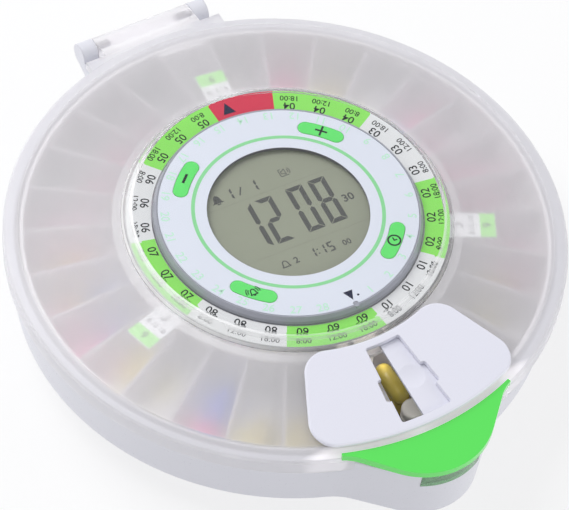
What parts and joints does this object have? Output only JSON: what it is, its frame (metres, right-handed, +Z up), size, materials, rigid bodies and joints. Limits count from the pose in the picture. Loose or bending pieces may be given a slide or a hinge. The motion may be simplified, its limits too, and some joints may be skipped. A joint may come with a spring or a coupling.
{
  "type": "automatic pill dispenser",
  "caption": "Round pill dispenser: a motor-turned ring tray under a hinged frosted lid with a sliding hatch, and a fixed dial with a display and keys.",
  "frame": {"origin": "on the dial's axis, at the level of the feet's undersides", "axes": "+Z up along the dial's and tray's axis; -Y towards the nose with the lamp and the hatch; +Y towards the lid's hinge; +X to the side the drive gears are on"},
  "size_m": [0.195, 0.2232, 0.0546],
  "materials": {
    "bezel_grey": "smooth moulded, mid grey",
    "board_green": "green solder mask on fibreglass",
    "buzzer_black": "black moulded housing",
    "cap_green": "glossy moulded green",
    "capsule_blue": "gelatine shell",
    "capsule_yellow": "gelatine shell",
    "case_white": "smooth moulded ABS, cool white",
    "cell_jacket": null,
    "chip_black": "black epoxy package",
    "contact_nickel": "nickel-plated spring steel",
    "cover_white": "fine-grained moulded underside",
    "deck_plastic": "plain moulded plastic",
    "display_clear": "clear polished cover",
    "display_olive": "reflective display, olive grey with dark segments",
    "dome_metal": "stainless dome",
    "door_frost": "milky translucent white",
    "face_white": "smooth, with printed pale green numbers and a green ring",
    "foot_rubber": "soft grey rubber",
    "frame_white": "plain moulded plastic",
    "gear_acetal": "acetal, slightly glossy",
    "hatch_white": "smooth moulded, cool white",
    "hinge_steel": "plain steel pin",
    "key_green": "smooth green with dark signs",
    "label_print": "printed ring in green, white and red fields",
    "led_clear": "clear epoxy",
    "lens_green": "greenish clear lens",
    "lid_frosted": "frosted translucent plastic, polished rim",
    "motor_can": "pressed steel can",
    "screw_steel": "zinc-plated steel",
    "strip_grey": "conductive elastomer",
    "tablet_pink": "pressed powder, pink",
    "tablet_white": "pressed powder",
    "tray_clear": "translucent natural plastic",
    "window_clear": "clear polished plastic"
  },
  "bodies": {
    "base": {"base_housing": "case_white", "hinge_pins": "hinge_steel", "bottom_cover": "cover_white", "feet": "foot_rubber", "cover_screws": "screw_steel", "battery_cells": "cell_jacket", "battery_contacts": "contact_nickel", "battery_springs": "contact_nickel", "gear_deck": "deck_plastic", "idler_pin": "hinge_steel", "motor_body": "motor_can", "circuit_board": "board_green", "small_screws": "screw_steel", "key_domes": "dome_metal", "buzzer": "buzzer_black", "controller_chip": "chip_black", "display_frame": "frame_white", "display_strips": "strip_grey", "display_glass": "display_olive", "display_lens": "display_clear", "hub_bezel": "bezel_grey", "hub_face": "face_white", "beacon_lens": "lens_green", "beacon_board": "board_green", "beacon_leds": "led_clear"},
    "tray": {"pill_tray": "tray_clear", "tray_dividers": "tray_clear", "label_ring": "label_print", "pills_white": "tablet_white", "pills_pink": "tablet_pink", "pills_yellow": "capsule_yellow", "pills_blue": "capsule_blue"},
    "idler": {"idler_gear": "gear_acetal"},
    "pinion": {"motor_pinion": "gear_acetal"},
    "lid": {"lid_shell": "lid_frosted", "lid_window": "window_clear", "nose_cap": "cap_green", "hatch_plate": "hatch_white"},
    "hatch_door": {"hatch_door": "door_frost"},
    "key_clock": {"key_clock": "key_green"},
    "key_plus": {"key_plus": "key_green"},
    "key_minus": {"key_minus": "key_green"},
    "key_bell": {"key_bell": "key_green"},
    "battery_door": {"battery_door": "cover_white"}
  },
  "joints": [
    {"name": "tray_turn", "type": "hinge", "parent": "base", "child": "tray", "pos_m": [0, 0, 0.03], "axis": [0, 0, 1], "continuous": true},
    {"name": "idler_turn", "type": "hinge", "parent": "base", "child": "idler", "pos_m": [0.0408, 0, 0.0378], "axis": [0, 0, 1], "continuous": true},
    {"name": "pinion_turn", "type": "hinge", "parent": "base", "child": "pinion", "pos_m": [0.0272, 0, 0.0378], "axis": [0, 0, 1], "continuous": true},
    {"name": "lid_hinge", "type": "hinge", "parent": "base", "child": "lid", "pos_m": [0.00278, 0.10621, 0.0365], "axis": [-0.9997, 0.0262, 0], "range_deg": [0, 105]},
    {"name": "hatch_slide", "type": "hinge", "parent": "lid", "child": "hatch_door", "pos_m": [0, 0, 0.047], "axis": [0, 0, 1], "range_deg": [-5.9, 6.6]},
    {"name": "battery_door_slide", "type": "slide", "parent": "base", "child": "battery_door", "axis": [1, 0, 0], "range_m": [0, 0.006]},
    {"name": "key_clock_press", "type": "slide", "parent": "base", "child": "key_clock", "axis": [0, 0, -1], "range_m": [0, 0.0008], "stiffness_N_per_m": 300},
    {"name": "key_plus_press", "type": "slide", "parent": "base", "child": "key_plus", "axis": [0, 0, -1], "range_m": [0, 0.0008], "stiffness_N_per_m": 300},
    {"name": "key_minus_press", "type": "slide", "parent": "base", "child": "key_minus", "axis": [0, 0, -1], "range_m": [0, 0.0008], "stiffness_N_per_m": 300},
    {"name": "key_bell_press", "type": "slide", "parent": "base", "child": "key_bell", "axis": [0, 0, -1], "range_m": [0, 0.0008], "stiffness_N_per_m": 300}
  ],
  "couplings": [
    {"joint": "idler_turn", "follows": "tray_turn", "ratio": 5.8},
    {"joint": "pinion_turn", "follows": "tray_turn", "ratio": -9.6667}
  ]
}
